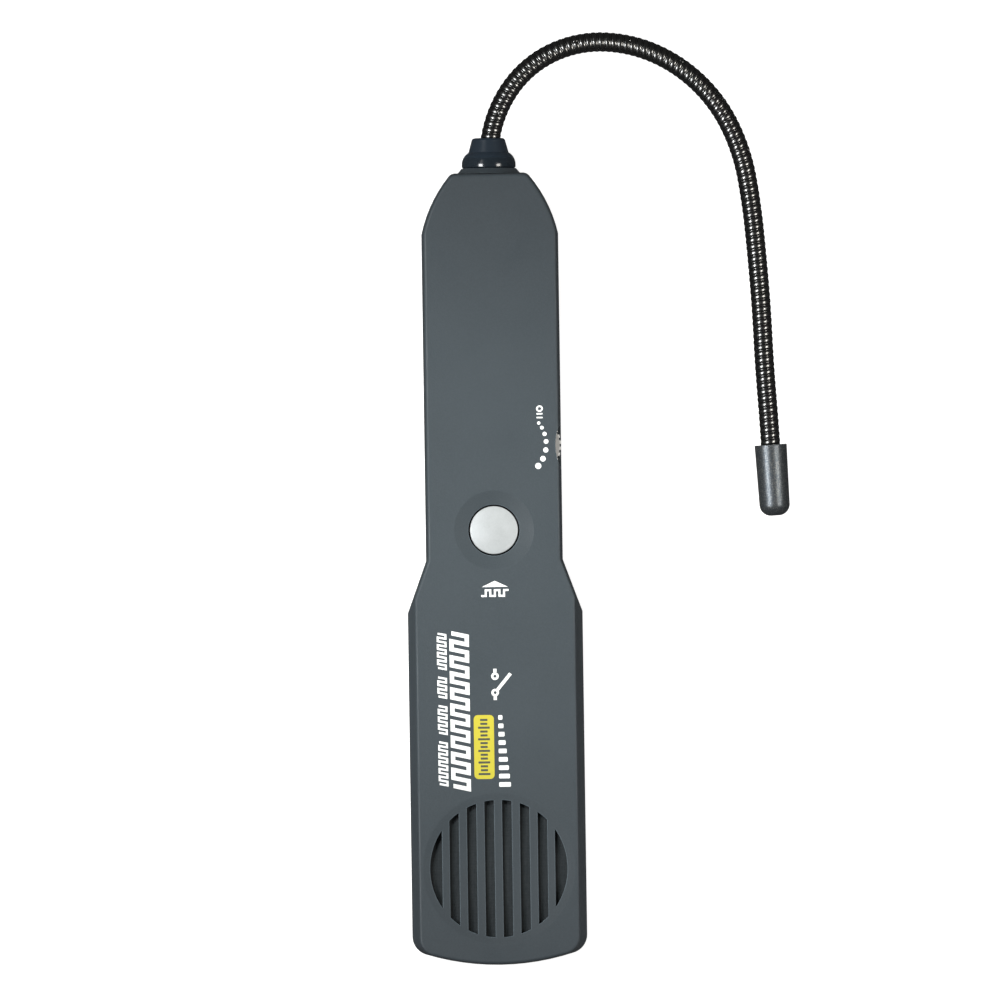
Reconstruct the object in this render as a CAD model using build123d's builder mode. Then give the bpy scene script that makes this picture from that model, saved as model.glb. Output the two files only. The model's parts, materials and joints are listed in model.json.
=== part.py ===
from build123d import *

import math
import os

# A handheld circuit breaker finder: a two-shell casing with a speaker, a test button and a volume
# wheel, and a flexible steel gooseneck that carries a sensor. It lies on its back: +Z is the
# front, +Y runs towards the gooseneck, and the origin is on the flat back. Millimetres.

os.makedirs("parts", exist_ok=True)

# ---------------------------------------------------------------- driving dimensions

casing_length = 208.4
casing_depth = 29.0
parting_z = 14.5
wide_half = 23.0
neck_half = 18.0
wall = 2.2
bottom_y = -casing_length / 2
top_y = casing_length / 2

bottom_arc_radius = 65.0
bottom_corner_radius = 5.0
slope_low = (wide_half, bottom_y + 92.8)
slope_high = (neck_half, bottom_y + 106.5)
shoulder_radius = 36.4
shoulder_centre = (-17.56, bottom_y + 184.56)
top_corner_radius = 2.2

bevel_start_z = 20.5
bevel_flank = 2.0
bevel_neck = 0.6
bevel_rim = 0.5
front_edge_round = 0.7
back_bevel_height = 3.2
back_bevel_inset = 1.8
back_edge_round = 0.8

button_y = bottom_y + 114.4
button_radius = 6.3
button_gap = 0.42
button_travel = 0.6
button_dish_radius = 10.5
button_dish_depth = 1.0

speaker_y = bottom_y + 25.5
grille_radius = 18.05
grille_dish_radius = 20.0
grille_dish_depth = 0.9
slot_pitch = 4.64
slot_width = 2.5
slot_count = 6

wheel_x = 9.6
wheel_y = bottom_y + 136.5
wheel_radius = 8.4
wheel_low_z = 19.6
wheel_thickness = 3.2
wheel_notches = 32
scallop_radius = 14.0
scallop_depth = 1.55

board_z = 16.0
board_thickness = 1.6
board_half = 14.6
board_low_y = 0.8
board_high_y = 84.0

cover_half = 14.6
cover_top_y = -4.4
cover_low_z = 0.3
cover_thickness = 2.2
cover_gap = 0.2
tongue_width = 1.0
tongue_thickness = 1.0

battery_width = 26.5
battery_depth = 17.5
battery_length = 46.4
battery_low_y = -57.2
battery_low_z = 3.0

arm_radius = 2.6
arm_bore = 1.3
arm_z = parting_z
arm_step = 14.15
arm_start_heading = 10.0
arm_turns = [25.5, 29, 27.5, 22.5, 20.5, 20, 15.5, 4.5, 1, 2, -2, 1]
arm_cup_radius = 2.75
arm_inner_end_y = bottom_y + 198.2

probe_length = 18.7
probe_top_radius = 4.25
probe_end_radius = 3.95
probe_nose_round = 3.0
probe_rim_round = 0.15
probe_socket_depth = 6.0

case_screws_at = [(11.8, 88.0), (18.5, -13.0), (18.5, -91.7)]
board_screws_at = [(-11.5, 20.5), (11.5, 20.5), (-7.0, 79.0)]

front_z = casing_depth
front_inner_z = casing_depth - wall
board_top_z = board_z + board_thickness
battery_high_z = battery_low_z + battery_depth
battery_high_y = battery_low_y + battery_length


def save(part, name):
    """Labels a finished piece and writes it to the parts folder."""
    part.label = name
    export_step(part, "parts/" + name + ".step")


# ---------------------------------------------------------------- casing outline


def on_circle(centre, radius, degrees):
    """The point on a circle at an angle counted from +X."""
    turn = math.radians(degrees)
    return (centre[0] + radius * math.cos(turn), centre[1] + radius * math.sin(turn))


def angle_between(centre, point):
    """The angle from +X, in degrees, of a point seen from a centre."""
    return math.degrees(math.atan2(point[1] - centre[1], point[0] - centre[0]))


def arc_about(centre, radius, start, end):
    """An arc about a centre, between two angles in degrees."""
    middle = (start + end) / 2
    ends = [on_circle(centre, radius, degrees) for degrees in (start, middle, end)]
    return ThreePointArc(*ends)


def casing_outline(flank_inset, neck_inset, rim_inset):
    """The casing seen from the front, with its wide flanks, neck flanks and rim moved inwards."""
    flank = wide_half - flank_inset
    neck = neck_half - neck_inset

    bottom_centre = (0, bottom_y + bottom_arc_radius)
    bottom_radius = bottom_arc_radius - rim_inset
    corner_radius = max(bottom_corner_radius - rim_inset, 1.0)
    corner_x = flank - corner_radius
    corner_drop = math.sqrt((bottom_radius - corner_radius) ** 2 - corner_x**2)
    corner_centre = (corner_x, bottom_centre[1] - corner_drop)
    corner_angle = angle_between(bottom_centre, corner_centre)

    slope_run = slope_low[0] - slope_high[0]
    slope_rise = slope_high[1] - slope_low[1]
    slope_size = math.hypot(slope_run, slope_rise)
    inset_x = slope_low[0] - rim_inset * slope_rise / slope_size
    inset_y = slope_low[1] - rim_inset * slope_run / slope_size
    flank_top = (flank, inset_y + (inset_x - flank) * slope_rise / slope_run)
    neck_bottom = (neck, inset_y + (inset_x - neck) * slope_rise / slope_run)

    shoulder = shoulder_radius - rim_inset
    shoulder_start = math.degrees(math.acos((neck - shoulder_centre[0]) / shoulder))
    crown = shoulder - top_corner_radius
    crown_y = top_y - rim_inset - top_corner_radius
    crown_reach = math.sqrt(crown**2 - (crown_y - shoulder_centre[1]) ** 2)
    crown_centre = (shoulder_centre[0] + crown_reach, crown_y)
    crown_angle = angle_between(shoulder_centre, crown_centre)

    with BuildSketch() as outline:
        with BuildLine():
            arc_about(bottom_centre, bottom_radius, -90, corner_angle)
            corner = arc_about(corner_centre, corner_radius, corner_angle, 0)
            Line(corner @ 1, flank_top)
            Line(flank_top, neck_bottom)
            shoulder_arc = arc_about(shoulder_centre, shoulder, shoulder_start, crown_angle)
            Line(neck_bottom, shoulder_arc @ 0)
            top_arc = arc_about(crown_centre, top_corner_radius, crown_angle, 90)
            Line(top_arc @ 1, (0, top_y - rim_inset))
            mirror(about=Plane.YZ)
        make_face()
    return outline.sketch


def both_sides(points):
    """Each point and its twin across the middle."""
    return [(side * x, y) for x, y in points for side in (-1, 1)]


# ---------------------------------------------------------------- front shell

gland_hole_radius = 4.9
lip_radius = 8.3
lip_top_radius = 7.2
lip_top_y = top_y + 1.3
boss_radius = 2.8
pilot_radius = 1.15
dish_ball = (button_dish_radius**2 + button_dish_depth**2) / (2 * button_dish_depth)
grille_ball = (grille_dish_radius**2 + grille_dish_depth**2) / (2 * grille_dish_depth)
crescent_start = (slot_count / 2 - 0.5) * slot_pitch + slot_pitch - slot_width / 2 - 0.15
wheel_slot_half = 6.3
wheel_slot_gap = 0.4
scallop_floor_gap = 1.2
post_radius = 2.4
post_pilot_radius = 0.95
rib_low_z = 22.9
rib_length = 20.0
rib_width = 1.2
peg_low_z = 24.8
peg_radius = 1.0
peg_circle_radius = 19.9
root_overlap = 0.3
end_plane = Plane(origin=(0, top_y, arm_z), x_dir=(1, 0, 0), z_dir=(0, 1, 0))

with BuildPart() as front_shell:
    with BuildSketch(Plane.XY.offset(parting_z)):
        add(casing_outline(0, 0, 0))
    extrude(amount=bevel_start_z - parting_z)
    with BuildSketch(Plane.XY.offset(bevel_start_z)):
        add(casing_outline(0, 0, 0))
    with BuildSketch(Plane.XY.offset(front_z)):
        add(casing_outline(bevel_flank, bevel_neck, bevel_rim))
    loft(ruled=True)
    fillet(faces().sort_by(Axis.Z)[-1].edges(), front_edge_round)

    # The tapered lip that the gland's dome sits on, upper half.
    with BuildSketch(end_plane):
        Circle(lip_radius)
    with BuildSketch(end_plane.offset(lip_top_y - top_y)):
        Circle(lip_top_radius)
    loft()

    # The hollow inside, which follows the bevel.
    with BuildSketch(Plane.XY.offset(parting_z - 10)):
        Rectangle(80, 300)
    extrude(amount=10, mode=Mode.SUBTRACT)
    with BuildSketch(Plane.XY.offset(parting_z)):
        add(casing_outline(wall, wall, wall))
    with BuildSketch(Plane.XY.offset(front_inner_z)):
        add(casing_outline(bevel_flank + wall, bevel_neck + wall, bevel_rim + wall))
    loft(ruled=True, mode=Mode.SUBTRACT)

    # Bosses for the case screws, and posts that the board is screwed to.
    with BuildSketch(Plane.XY.offset(parting_z + 0.1)):
        with Locations(*both_sides(case_screws_at)):
            Circle(boss_radius)
        add(casing_outline(0.5, 0.5, 0.5), mode=Mode.INTERSECT)
    extrude(amount=front_inner_z + root_overlap - parting_z - 0.1)
    with BuildSketch(Plane.XY.offset(parting_z + 0.1)):
        with Locations(*both_sides(case_screws_at)):
            Circle(pilot_radius)
    extrude(amount=9.5, mode=Mode.SUBTRACT)
    with BuildSketch(Plane.XY.offset(board_top_z + 0.05)):
        with Locations(*board_screws_at):
            Circle(post_radius)
    extrude(amount=front_inner_z + root_overlap - board_top_z)
    with BuildSketch(Plane.XY.offset(board_top_z)):
        with Locations(*board_screws_at):
            Circle(post_pilot_radius)
    extrude(amount=6.0, mode=Mode.SUBTRACT)

    # Cross ribs that press on the foam pad, and pegs round the speaker.
    with BuildSketch(Plane.XY.offset(rib_low_z)):
        with Locations((0, -43), (0, -24)):
            Rectangle(rib_length, rib_width)
    extrude(amount=front_inner_z + root_overlap - rib_low_z)
    with BuildSketch(Plane.XY.offset(peg_low_z)):
        with Locations((0, speaker_y)):
            with PolarLocations(peg_circle_radius, 4, start_angle=60, angular_range=360):
                Circle(peg_radius)
    extrude(amount=front_inner_z + root_overlap - peg_low_z)

    # The button's dish and hole.
    with Locations((0, button_y, front_z - button_dish_depth + dish_ball)):
        Sphere(dish_ball, mode=Mode.SUBTRACT)
    with BuildSketch(Plane.XY.offset(front_inner_z - 1)):
        with Locations((0, button_y)):
            Circle(button_radius + button_gap)
    extrude(amount=5, mode=Mode.SUBTRACT)

    # The speaker's dish, its straight slots and the crescent at each side.
    with Locations((0, speaker_y, front_z - grille_dish_depth + grille_ball)):
        Sphere(grille_ball, mode=Mode.SUBTRACT)
    with BuildSketch(Plane.XY.offset(front_inner_z - 0.2)):
        with Locations((0, speaker_y)):
            with GridLocations(slot_pitch, 1, slot_count, 1):
                Rectangle(slot_width, 2 * grille_radius)
            crescent_width = grille_radius - crescent_start
            with GridLocations(2 * crescent_start + crescent_width, 1, 2, 1):
                Rectangle(crescent_width, 2 * grille_radius)
            Circle(grille_radius, mode=Mode.INTERSECT)
    extrude(amount=4, mode=Mode.SUBTRACT)

    # The scallop for a fingertip, and the slot that the volume wheel looks out of.
    with BuildSketch(Plane.XY.offset(wheel_low_z - scallop_floor_gap)):
        with Locations((neck_half + scallop_radius - scallop_depth, wheel_y)):
            Circle(scallop_radius)
    extrude(amount=front_z, mode=Mode.SUBTRACT)
    with BuildSketch(Plane.XY.offset(wheel_low_z - wheel_slot_gap)):
        with Locations((neck_half, wheel_y)):
            Rectangle(8, 2 * wheel_slot_half)
    extrude(amount=wheel_thickness + 2 * wheel_slot_gap, mode=Mode.SUBTRACT)

    # The gland's hole, upper half.
    with BuildSketch(end_plane.offset(-6)):
        Circle(gland_hole_radius)
    extrude(amount=12, mode=Mode.SUBTRACT)

save(front_shell.part, "front_shell")

# ---------------------------------------------------------------- rear shell

rail_width = 2.0
rail_top_z = 4.4
groove_low_z = 1.35
groove_high_z = 2.65
groove_depth = 1.0
bay_wall = 1.2
bay_top_z = 14.3
bay_low_y = -58.8
bay_high_y = -2.4
screw_head_radius = 2.0
screw_recess_radius = 2.15
screw_recess_depth = 3.0
screw_hole_radius = 1.25
opening_half = cover_half + cover_gap
seam_groove = 0.3

with BuildPart() as rear_shell:
    with BuildSketch(Plane.XY.offset(back_bevel_height)):
        add(casing_outline(0, 0, 0))
    extrude(amount=parting_z - back_bevel_height)
    with BuildSketch(Plane.XY.offset(back_bevel_height)):
        add(casing_outline(0, 0, 0))
    with BuildSketch():
        add(casing_outline(back_bevel_inset, back_bevel_inset, back_bevel_inset))
    loft(ruled=True)
    fillet(faces().sort_by(Axis.Z)[0].edges(), back_edge_round)
    with BuildSketch(end_plane):
        Circle(lip_radius)
    with BuildSketch(end_plane.offset(lip_top_y - top_y)):
        Circle(lip_top_radius)
    loft()
    with BuildSketch(Plane.XY.offset(parting_z)):
        Rectangle(80, 300)
    extrude(amount=20, mode=Mode.SUBTRACT)
    with BuildSketch(Plane.XY.offset(wall)):
        add(casing_outline(wall, wall, wall))
    extrude(amount=parting_z, mode=Mode.SUBTRACT)

    # Rails beside the cover, and the walls of the battery bay.
    with BuildSketch(Plane.XY.offset(wall - 0.2)):
        with Locations((0, (bottom_y + cover_top_y) / 2)):
            with GridLocations(2 * opening_half + rail_width, 1, 2, 1):
                Rectangle(rail_width, cover_top_y - bottom_y)
        add(casing_outline(1, 1, 1), mode=Mode.INTERSECT)
    extrude(amount=rail_top_z - wall + 0.2)
    with BuildSketch(Plane.XY.offset(wall)):
        with Locations((0, (bay_low_y + bay_high_y) / 2)):
            with GridLocations(2 * opening_half + bay_wall, 1, 2, 1):
                Rectangle(bay_wall, bay_high_y - bay_low_y)
        with Locations((0, bay_low_y + bay_wall / 2)):
            Rectangle(2 * opening_half + 2 * bay_wall, bay_wall)
    extrude(amount=bay_top_z - wall)
    with BuildSketch(Plane.XY.offset(wall - 0.2)):
        with Locations((0, bay_high_y - bay_wall / 2)):
            Rectangle(2 * opening_half + 2 * bay_wall, bay_wall)
    extrude(amount=parting_z - 0.5 - wall)

    # Tubes for the case screws.
    with BuildSketch(Plane.XY.offset(1)):
        with Locations(*both_sides(case_screws_at)):
            Circle(boss_radius)
        add(casing_outline(1, 1, 1), mode=Mode.INTERSECT)
    extrude(amount=parting_z - 1)
    with BuildSketch():
        with Locations(*both_sides(case_screws_at)):
            Circle(screw_hole_radius)
    extrude(amount=parting_z + 1, mode=Mode.SUBTRACT)
    with BuildSketch():
        with Locations(*both_sides(case_screws_at)):
            Circle(screw_recess_radius)
    extrude(amount=screw_recess_depth, mode=Mode.SUBTRACT)

    # The cover's opening and the grooves that its tongues run in, open at the bottom end.
    with BuildSketch(Plane.XY.offset(-1)):
        with Locations((0, cover_top_y + cover_gap)):
            Rectangle(2 * opening_half, 200, align=(Align.CENTER, Align.MAX))
    extrude(amount=groove_high_z + 1, mode=Mode.SUBTRACT)
    with BuildSketch(Plane.XY.offset(groove_low_z)):
        with Locations((0, cover_top_y + cover_gap)):
            Rectangle(2 * (opening_half + groove_depth), 200, align=(Align.CENTER, Align.MAX))
    extrude(amount=groove_high_z - groove_low_z, mode=Mode.SUBTRACT)

    # A fine groove along the seam with the front shell.
    with BuildSketch(Plane.XY.offset(parting_z)):
        add(casing_outline(0, 0, 0))
        add(casing_outline(seam_groove, seam_groove, seam_groove), mode=Mode.SUBTRACT)
    extrude(amount=-seam_groove, mode=Mode.SUBTRACT)

    # A way out for the battery's leads, and the gland's hole, lower half.
    with BuildSketch(Plane.XY.offset(9.5)):
        with Locations((0, bay_high_y)):
            Rectangle(10, 4)
    extrude(amount=20, mode=Mode.SUBTRACT)
    with BuildSketch(end_plane.offset(-6)):
        Circle(gland_hole_radius)
    extrude(amount=12, mode=Mode.SUBTRACT)

save(rear_shell.part, "rear_shell")

# ---------------------------------------------------------------- battery cover

tongue_low_y = bottom_y + 6.0
grip_y = -34.0
grip_pitch = 2.2
grip_length = 17.0
grip_width = 11.0
grip_depth = 0.9
grip_rib_length = 9.0
grip_rib_width = 0.8
arrow_radius = 3.2
arrow_depth = 0.5

with BuildPart() as battery_cover:
    with BuildSketch(Plane.XY.offset(cover_low_z)):
        add(casing_outline(0.2, 0.2, 0.2))
        with Locations((0, cover_top_y)):
            Rectangle(2 * cover_half, 200, align=(Align.CENTER, Align.MAX), mode=Mode.INTERSECT)
    extrude(amount=cover_thickness)
    with BuildSketch(Plane.XY.offset(cover_low_z + cover_thickness - tongue_thickness)):
        with Locations((0, (cover_top_y + tongue_low_y) / 2)):
            Rectangle(2 * (cover_half + tongue_width), cover_top_y - tongue_low_y)
    extrude(amount=tongue_thickness)
    # A thumb recess with ribs across it.
    with BuildSketch(Plane.XY.offset(cover_low_z)):
        with Locations((0, grip_y)):
            SlotOverall(grip_length, grip_width)
    extrude(amount=grip_depth, mode=Mode.SUBTRACT)
    with BuildSketch(Plane.XY.offset(cover_low_z + 0.15)):
        with Locations((0, grip_y)):
            with GridLocations(1, grip_pitch, 1, 4):
                Rectangle(grip_rib_length, grip_rib_width)
    extrude(amount=1.0)
    # An arrowhead that shows which way the cover slides.
    with BuildSketch(Plane.XY.offset(cover_low_z)):
        with Locations((0, grip_y - 12.0)):
            RegularPolygon(arrow_radius, 3, rotation=-90)
    extrude(amount=arrow_depth, mode=Mode.SUBTRACT)

save(battery_cover.part, "battery_cover")

# ---------------------------------------------------------------- test button and its switch

switch_top_z = board_top_z + 3.5
plunger_radius = 1.7
plunger_low_z = switch_top_z - 1.0
plunger_high_z = switch_top_z + 1.3
button_edge_z = front_z - 0.1
button_flange_radius = 7.6
button_flange_z = 25.2
crown_rise = 0.6
crown_edge_round = 0.25
button_wall = 1.3
button_flange_thickness = 1.2
button_hollow_depth = 2.6
stem_radius = 1.9
crown_ball = (button_radius**2 + crown_rise**2) / (2 * crown_rise)

with BuildPart() as test_button:
    with BuildSketch(Plane.XY.offset(button_flange_z)):
        with Locations((0, button_y)):
            Circle(button_flange_radius)
    extrude(amount=button_flange_thickness)
    with BuildSketch(Plane.XY.offset(button_flange_z)):
        with Locations((0, button_y)):
            Circle(button_radius)
    extrude(amount=button_edge_z - button_flange_z)
    # The crown is the top of a large ball.
    with BuildSketch(Plane.XY.offset(button_edge_z)):
        with Locations((0, button_y)):
            Circle(button_radius)
    extrude(amount=crown_rise)
    with Locations((0, button_y, button_edge_z + crown_rise - crown_ball)):
        Sphere(crown_ball, mode=Mode.INTERSECT)
    rims = edges().filter_by(GeomType.CIRCLE)
    rims = rims.filter_by_position(Axis.Z, button_edge_z - 0.05, button_edge_z + 0.05)
    fillet(rims, crown_edge_round)
    # Hollow underneath, with a stem that rests on the switch.
    with BuildSketch(Plane.XY.offset(button_flange_z)):
        with Locations((0, button_y)):
            Circle(button_radius - button_wall)
    extrude(amount=button_hollow_depth, mode=Mode.SUBTRACT)
    with BuildSketch(Plane.XY.offset(plunger_high_z + 0.02)):
        with Locations((0, button_y)):
            Circle(stem_radius)
    extrude(amount=button_flange_z + button_hollow_depth + 0.4 - plunger_high_z)

save(test_button.part, "test_button")

with BuildPart() as switch_plunger:
    with BuildSketch(Plane.XY.offset(plunger_low_z)):
        with Locations((0, button_y)):
            Circle(plunger_radius)
    extrude(amount=plunger_high_z - plunger_low_z)

save(switch_plunger.part, "switch_plunger")

with BuildPart() as switch_body:
    with BuildSketch(Plane.XY.offset(board_top_z + 0.02)):
        with Locations((0, button_y)):
            RectangleRounded(6.0, 6.0, 0.5)
    extrude(amount=3.48)
    with BuildSketch(Plane.XY.offset(plunger_low_z - button_travel - 0.2)):
        with Locations((0, button_y)):
            Circle(plunger_radius + 0.08)
    extrude(amount=4, mode=Mode.SUBTRACT)
    # Four bent legs.
    with BuildSketch(Plane.XY.offset(board_top_z + 0.02)):
        with Locations((0, button_y)):
            with GridLocations(7.0, 4.5, 2, 2):
                Rectangle(1.4, 0.7)
    extrude(amount=0.5)

save(switch_body.part, "switch_body")

# ---------------------------------------------------------------- volume wheel and its control

shaft_radius = 2.0
hub_radius = 3.4
wheel_high_z = wheel_low_z + wheel_thickness
pot_top_z = wheel_low_z - 0.35

with BuildPart() as volume_wheel:
    with BuildSketch(Plane.XY.offset(wheel_low_z)):
        with Locations((wheel_x, wheel_y)):
            Circle(wheel_radius)
    extrude(amount=wheel_thickness)
    chamfer(edges().filter_by(GeomType.CIRCLE), 0.4)
    # A shallow web between the rim and the hub, on the front side.
    with BuildSketch(Plane.XY.offset(wheel_high_z)):
        with Locations((wheel_x, wheel_y)):
            Circle(wheel_radius - 1.6)
            Circle(hub_radius, mode=Mode.SUBTRACT)
    extrude(amount=-1.2, mode=Mode.SUBTRACT)
    with BuildSketch(Plane.XY.offset(wheel_low_z - 1)):
        with Locations((wheel_x, wheel_y)):
            Circle(shaft_radius + 0.02)
    extrude(amount=wheel_thickness + 2, mode=Mode.SUBTRACT)
    # Finger notches round the rim.
    with BuildSketch(Plane.XY.offset(wheel_low_z - 1)):
        with Locations((wheel_x, wheel_y)):
            with PolarLocations(wheel_radius + 0.15, wheel_notches):
                Rectangle(1.1, 0.75)
    extrude(amount=wheel_thickness + 2, mode=Mode.SUBTRACT)

save(volume_wheel.part, "volume_wheel")

with BuildPart() as potentiometer_shaft:
    with BuildSketch(Plane.XY.offset(board_top_z + 0.5)):
        with Locations((wheel_x, wheel_y)):
            Circle(shaft_radius)
    extrude(amount=wheel_high_z - 0.1 - board_top_z - 0.5)
    with BuildSketch(Plane.XY.offset(wheel_high_z - 3)):
        with Locations((wheel_x, wheel_y)):
            Circle(0.82)
    extrude(amount=4, mode=Mode.SUBTRACT)

save(potentiometer_shaft.part, "potentiometer_shaft")

with BuildPart() as wheel_screw:
    with BuildSketch(Plane.XY.offset(wheel_high_z + 0.02)):
        with Locations((wheel_x, wheel_y)):
            Circle(1.9)
    extrude(amount=1.0)
    fillet(edges().filter_by(GeomType.CIRCLE).sort_by(Axis.Z)[-1], 0.4)
    with BuildSketch(Plane.XY.offset(wheel_high_z - 2.6)):
        with Locations((wheel_x, wheel_y)):
            Circle(0.8)
    extrude(amount=2.7)
    with BuildSketch(Plane.XY.offset(wheel_high_z + 0.6)):
        with Locations((wheel_x, wheel_y)):
            Rectangle(2.2, 0.5)
            Rectangle(0.5, 2.2)
    extrude(amount=1, mode=Mode.SUBTRACT)

save(wheel_screw.part, "wheel_screw")

with BuildPart() as potentiometer_body:
    with BuildSketch(Plane.XY.offset(board_top_z + 0.02)):
        with Locations((wheel_x - 1.6, wheel_y)):
            Circle(6.6)
    extrude(amount=pot_top_z - board_top_z - 0.02)
    with BuildSketch(Plane.XY.offset(board_top_z + 0.4)):
        with Locations((wheel_x, wheel_y)):
            Circle(shaft_radius + 0.06)
    extrude(amount=4, mode=Mode.SUBTRACT)
    # Five solder legs on the inner side.
    with BuildSketch(Plane.XY.offset(board_top_z + 0.02)):
        with Locations((wheel_x - 8.6, wheel_y)):
            with GridLocations(1, 2.0, 1, 5):
                Rectangle(3.4, 0.8)
    extrude(amount=0.5)

save(potentiometer_body.part, "potentiometer_body")

# ---------------------------------------------------------------- circuit board and what is on it

with BuildPart() as circuit_board:
    with BuildSketch(Plane.XY.offset(board_z)):
        with Locations((0, (board_low_y + board_high_y) / 2)):
            RectangleRounded(2 * board_half, board_high_y - board_low_y, 1.5)
        with Locations(*board_screws_at):
            Circle(1.2, mode=Mode.SUBTRACT)
    extrude(amount=board_thickness)

save(circuit_board.part, "circuit_board")

chip_x = -5.0
chip_y = 56.0
pin_pitch = 2.54

with BuildPart() as amplifier_chip:
    with BuildSketch(Plane.XY.offset(board_top_z + 0.6)):
        with Locations((chip_x, chip_y)):
            Rectangle(6.4, 9.6)
    extrude(amount=3.2)
    chamfer(edges().group_by(Axis.Z)[-1], 0.4)
    # The half-round notch that marks pin one's end.
    with BuildSketch(Plane.XY.offset(board_top_z + 3.0)):
        with Locations((chip_x, chip_y + 4.8)):
            Circle(0.8)
    extrude(amount=2, mode=Mode.SUBTRACT)
    with BuildSketch(Plane.XY.offset(board_top_z + 0.02)):
        with Locations((chip_x, chip_y)):
            with GridLocations(7.2, pin_pitch, 2, 4):
                Rectangle(0.9, 0.5)
    extrude(amount=2.0)

save(amplifier_chip.part, "amplifier_chip")

capacitors_at = [(6.5, 50.5), (6.5, 58.5), (-10.0, 42.0)]

with BuildPart() as capacitors:
    with BuildSketch(Plane.XY.offset(board_top_z + 0.02)):
        with Locations(*capacitors_at):
            Circle(2.5)
    extrude(amount=7.0)
    fillet(edges().filter_by(GeomType.CIRCLE).group_by(Axis.Z)[-1], 0.5)

save(capacitors.part, "capacitors")

resistor_row_y = 69.0
resistor_pitch = 3.6
resistor_z = board_top_z + 1.2
leg_half_span = 4.6

with BuildPart() as resistors:
    for index in range(4):
        row_y = resistor_row_y + (index - 1.5) * resistor_pitch
        side_plane = Plane(origin=(5.0, row_y, resistor_z), x_dir=(0, 1, 0), z_dir=(1, 0, 0))
        with BuildSketch(side_plane):
            Circle(1.1)
        extrude(amount=2.9, both=True)
        with BuildSketch(side_plane):
            Circle(0.3)
        extrude(amount=leg_half_span, both=True)
        with BuildSketch(Plane.XY.offset(board_top_z + 0.02)):
            with Locations((5.0, row_y)):
                with GridLocations(2 * leg_half_span, 1, 2, 1):
                    Rectangle(0.6, 0.6)
        extrude(amount=resistor_z + 0.3 - board_top_z)

save(resistors.part, "resistors")

with BuildPart() as transistor:
    with BuildSketch(Plane.XY.offset(board_top_z + 2.4)):
        with Locations((-9.5, 66.0)):
            Circle(2.3)
            with Locations((0, -2.4)):
                Rectangle(5, 2, mode=Mode.SUBTRACT)
    extrude(amount=4.6)
    with BuildSketch(Plane.XY.offset(board_top_z + 0.02)):
        with Locations((-9.5, 66.0)):
            with GridLocations(1.27, 1, 3, 1):
                Rectangle(0.45, 0.45)
    extrude(amount=2.6)

save(transistor.part, "transistor")

# ---------------------------------------------------------------- speaker

flange_low_z = 25.2
flange_high_z = 26.1
cloth_low_z = 26.2
speaker_axis = Axis((0, speaker_y, 0), (0, 0, 1))
speaker_plane = Plane(origin=(0, speaker_y, 0), x_dir=(1, 0, 0), z_dir=(0, -1, 0))

with BuildPart() as speaker_cloth:
    with BuildSketch(Plane.XY.offset(cloth_low_z)):
        with Locations((0, speaker_y)):
            Circle(18.5)
    extrude(amount=front_inner_z - 0.05 - cloth_low_z)

save(speaker_cloth.part, "speaker_cloth")

with BuildPart() as speaker_frame:
    with BuildSketch(speaker_plane):
        Polygon(
            (17.8, flange_low_z),
            (17.8, flange_high_z),
            (15.7, flange_high_z),
            (15.7, flange_low_z),
            (9.7, 19.3),
            (9.7, 18.5),
            (10.5, 18.5),
            (16.4, flange_low_z),
            align=None,
        )
    revolve(axis=speaker_axis)
    # The back plate that carries the magnet.
    with BuildSketch(Plane.XY.offset(18.5)):
        with Locations((0, speaker_y)):
            Circle(10.3)
            Circle(4.2, mode=Mode.SUBTRACT)
    extrude(amount=0.8)
    # Four windows round the basket.
    with BuildSketch(Plane.XY.offset(19.5)):
        with Locations((0, speaker_y)):
            with PolarLocations(13.0, 4, start_angle=45, angular_range=360):
                Rectangle(4.4, 8.0)
    extrude(amount=4.6, mode=Mode.SUBTRACT)
    # The tag that the leads are soldered to.
    with BuildSketch(Plane.XY.offset(flange_low_z)):
        with Locations((-6.4, speaker_y + 17.2)):
            Rectangle(5.6, 3.0)
    extrude(amount=0.7)

save(speaker_frame.part, "speaker_frame")

with BuildPart() as speaker_magnet:
    with BuildSketch(Plane.XY.offset(12.6)):
        with Locations((0, speaker_y)):
            Circle(9.0)
    extrude(amount=5.8)
    chamfer(edges().filter_by(GeomType.CIRCLE), 0.5)
    with BuildSketch(Plane.XY.offset(18.0)):
        with Locations((0, speaker_y)):
            Circle(3.2)
    extrude(amount=2.4)

save(speaker_magnet.part, "speaker_magnet")

with BuildPart() as speaker_cone:
    with BuildSketch(speaker_plane):
        with BuildLine():
            # The rolled surround, the paper cone and the dust cap, then back along the underside.
            surround = Polyline((15.5, 25.8), (13.6, 25.8), (12.6, 25.0), (5.6, 21.65))
            cap_top = Polyline((5.6, 21.65), (4.9, 22.5), (3.4, 23.2), (1.6, 23.5), (0, 23.5))
            Line(cap_top @ 1, (0, 23.0))
            cap_under = Polyline((0, 23.0), (1.5, 23.0), (3.1, 22.7), (4.3, 22.1), (4.7, 21.3))
            Polyline(cap_under @ 1, (4.7, 20.75), (12.9, 24.5), (13.8, 25.4), (15.5, 25.4))
            Line((15.5, 25.4), surround @ 0)
        make_face()
    revolve(axis=speaker_axis)

save(speaker_cone.part, "speaker_cone")

# ---------------------------------------------------------------- battery

battery_mid_z = battery_low_z + battery_depth / 2
terminal_spacing = 12.7
battery_end = Plane(
    origin=(0, battery_high_y, battery_mid_z), x_dir=(1, 0, 0), z_dir=(0, 1, 0)
)

with BuildPart() as battery:
    with BuildSketch(battery_end):
        RectangleRounded(battery_width, battery_depth, 2.6)
    extrude(amount=-battery_length)
    fillet(edges().group_by(Axis.Y)[0] + edges().group_by(Axis.Y)[-1], 0.6)

save(battery.part, "battery")

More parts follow.
